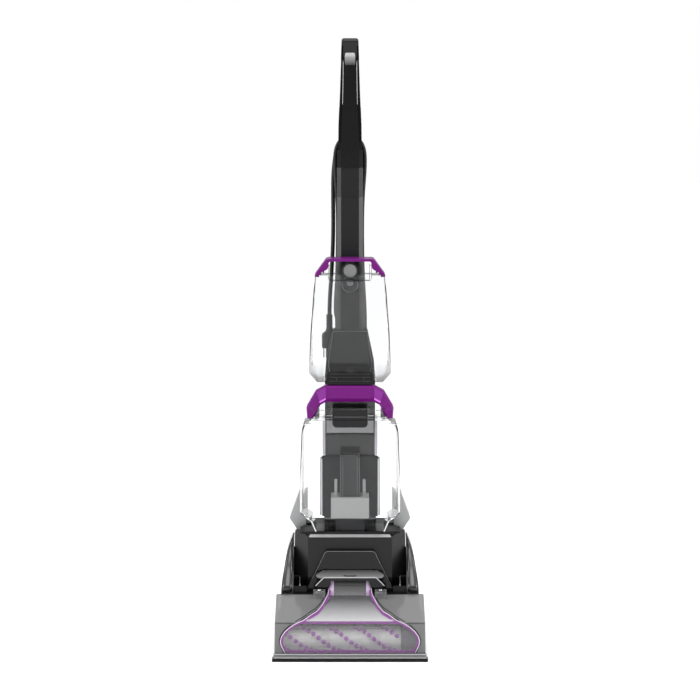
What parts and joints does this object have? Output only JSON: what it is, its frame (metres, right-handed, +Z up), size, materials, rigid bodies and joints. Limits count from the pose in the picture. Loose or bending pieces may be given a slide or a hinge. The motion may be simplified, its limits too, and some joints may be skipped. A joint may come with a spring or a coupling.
{
  "type": "upright carpet cleaner",
  "caption": "Upright carpet washer with a windowed suction foot, brush roll, recovery tank with bail, clean-water tank, reclining body, loop handle and wound mains cord.",
  "frame": {"origin": "on the floor under the centre of the machine's footprint", "axes": "+Z up, front of the machine faces -Y, +X to the right seen from the front"},
  "size_m": [0.2698, 0.35, 1.08],
  "materials": {
    "black_gloss": "gloss",
    "black_satin": "satin",
    "purple_gloss": "gloss",
    "smoke": "clear tinted",
    "clear": "clear",
    "silver": "metallic paint",
    "light_grey": "satin",
    "latch_grey": "satin",
    "bristle": "matte fibre",
    "pulley": "satin",
    "rubber": "matte",
    "cord": "satin",
    "steel": "brushed",
    "motor": "cast"
  },
  "bodies": {
    "foot": {"foot_pan": "black_satin", "base_plate": "black_satin", "brush_housing": "black_satin", "belt_cover": "light_grey", "drive_belt": "rubber", "brush_motor": "motor", "spray_bar": "pulley", "fender_left": "black_gloss", "fender_right": "black_gloss", "spine_cover": "black_gloss", "wheel_axle": "steel", "base_screws": "steel"},
    "nozzle_cover": {"nozzle_window": "smoke", "nozzle_lens": "clear", "nozzle_seal": "purple_gloss"},
    "nozzle_latch": {"nozzle_latch": "latch_grey"},
    "brush_roll": {"brush_core": "light_grey", "brush_bristles": "bristle", "brush_pulley": "pulley"},
    "motor_shaft": {"brush_motor_shaft": "steel"},
    "left_wheel": {"wheel_left": "pulley", "tyre_left": "rubber"},
    "right_wheel": {"wheel_right": "pulley", "tyre_right": "rubber"},
    "recline_pedal": {"recline_pedal": "black_satin"},
    "upright": {"lower_body": "black_gloss", "hood": "black_gloss", "motor_cover": "black_satin", "wing_left": "silver", "wing_right": "silver", "column": "black_satin", "suction_motor": "motor", "pump": "black_satin", "tank_seat": "black_satin", "stem_lower": "black_gloss", "stem_upper": "black_satin", "collar": "black_gloss", "lower_hook": "black_satin", "handle_loop": "black_gloss", "handle_grip": "rubber", "cord_lead": "cord", "cord_winding": "cord", "cord_tail": "cord", "cord_plug": "cord"},
    "impeller": {"impeller": "pulley"},
    "power_switch": {"power_switch": "black_satin"},
    "dirty_tank": {"dirty_tank_shell": "clear", "inlet_stack": "black_satin", "tank_lid": "clear"},
    "tank_float": {"tank_float": "light_grey"},
    "lid_latch": {"lid_latch": "black_gloss"},
    "tank_bail": {"tank_bail": "purple_gloss"},
    "clean_tank": {"clean_tank_shell": "clear", "clean_tank_handle": "purple_gloss"},
    "release_button": {"release_button": "light_grey"},
    "fill_cap": {"fill_cap": "black_satin"},
    "valve_plunger": {"valve_plunger": "light_grey"},
    "trigger": {"trigger": "purple_gloss"},
    "push_rod": {"push_rod": "black_satin"},
    "cord_hook_tab": {"cord_hook_tab": "black_satin"}
  },
  "joints": [
    {"name": "nozzle_cover_slide", "type": "slide", "parent": "foot", "child": "nozzle_cover", "axis": [0, -1, 0], "range_m": [0, 0.12]},
    {"name": "nozzle_latch_hinge", "type": "hinge", "parent": "foot", "child": "nozzle_latch", "pos_m": [0, -0.0315, 0.1305], "axis": [-1, 0, 0], "range_deg": [0, 50]},
    {"name": "brush_spin", "type": "hinge", "parent": "foot", "child": "brush_roll", "pos_m": [0, -0.124, 0.03], "axis": [1, 0, 0], "continuous": true},
    {"name": "motor_shaft_spin", "type": "hinge", "parent": "foot", "child": "motor_shaft", "pos_m": [0.09, -0.062, 0.04], "axis": [1, 0, 0], "continuous": true},
    {"name": "wheel_left_spin", "type": "hinge", "parent": "foot", "child": "left_wheel", "pos_m": [-0.109, 0.1, 0.048], "axis": [1, 0, 0], "continuous": true},
    {"name": "wheel_right_spin", "type": "hinge", "parent": "foot", "child": "right_wheel", "pos_m": [0.109, 0.1, 0.048], "axis": [1, 0, 0], "continuous": true},
    {"name": "recline_pedal_press", "type": "hinge", "parent": "foot", "child": "recline_pedal", "pos_m": [0, 0.118, 0.056], "axis": [-1, 0, 0], "range_deg": [0, 12], "stiffness_Nm_per_rad": 0.6, "springref_deg": -5.73},
    {"name": "recline", "type": "hinge", "parent": "foot", "child": "upright", "pos_m": [0, 0.045, 0.12], "axis": [-1, 0, 0], "range_deg": [0, 55]},
    {"name": "impeller_spin", "type": "hinge", "parent": "upright", "child": "impeller", "pos_m": [0, 0.104, 0.229], "axis": [1, 0, 0], "continuous": true},
    {"name": "power_switch_rock", "type": "hinge", "parent": "upright", "child": "power_switch", "pos_m": [0, 0.147, 0.222], "axis": [1, 0, 0], "range_deg": [-8, 8]},
    {"name": "dirty_tank_slide", "type": "slide", "parent": "upright", "child": "dirty_tank", "axis": [0, -1, 0], "range_m": [0, 0.15]},
    {"name": "float_rise", "type": "slide", "parent": "dirty_tank", "child": "tank_float", "axis": [0, 0, 1], "range_m": [0, 0.09]},
    {"name": "lid_latch_hinge", "type": "hinge", "parent": "dirty_tank", "child": "lid_latch", "pos_m": [0, -0.0488, 0.424], "axis": [-1, 0, 0], "range_deg": [0, 30]},
    {"name": "tank_bail_swing", "type": "hinge", "parent": "dirty_tank", "child": "tank_bail", "pos_m": [0, -0.033, 0.4135], "axis": [1, 0, 0], "range_deg": [0, 70]},
    {"name": "clean_tank_lift", "type": "slide", "parent": "upright", "child": "clean_tank", "axis": [0, 0, 1], "range_m": [0, 0.12]},
    {"name": "release_button_push", "type": "slide", "parent": "clean_tank", "child": "release_button", "axis": [0, 1, 0], "range_m": [0, 0.0035], "stiffness_N_per_m": 400, "springref_m": -0.001},
    {"name": "fill_cap_twist", "type": "hinge", "parent": "clean_tank", "child": "fill_cap", "pos_m": [0, 0.012, 0.465], "axis": [0, 0, 1], "range_deg": [0, 90]},
    {"name": "valve_plunger_lift", "type": "slide", "parent": "fill_cap", "child": "valve_plunger", "axis": [0, 0, 1], "range_m": [0, 0.004], "stiffness_N_per_m": 300, "springref_m": -0.001},
    {"name": "trigger_pull", "type": "hinge", "parent": "upright", "child": "trigger", "pos_m": [0, 0.101, 1.034], "axis": [1, 0, 0], "range_deg": [0, 12], "stiffness_Nm_per_rad": 0.3, "springref_deg": -5.73},
    {"name": "push_rod_slide", "type": "slide", "parent": "upright", "child": "push_rod", "axis": [0, 0, -1], "range_m": [0, 0.004]},
    {"name": "cord_hook_turn", "type": "hinge", "parent": "upright", "child": "cord_hook_tab", "pos_m": [0, 0.135, 0.87], "axis": [0, 1, 0], "range_deg": [0, 180]}
  ],
  "couplings": [
    {"joint": "motor_shaft_spin", "follows": "brush_spin", "ratio": 2},
    {"joint": "push_rod_slide", "follows": "trigger_pull", "m_per_rad": 0.018}
  ]
}
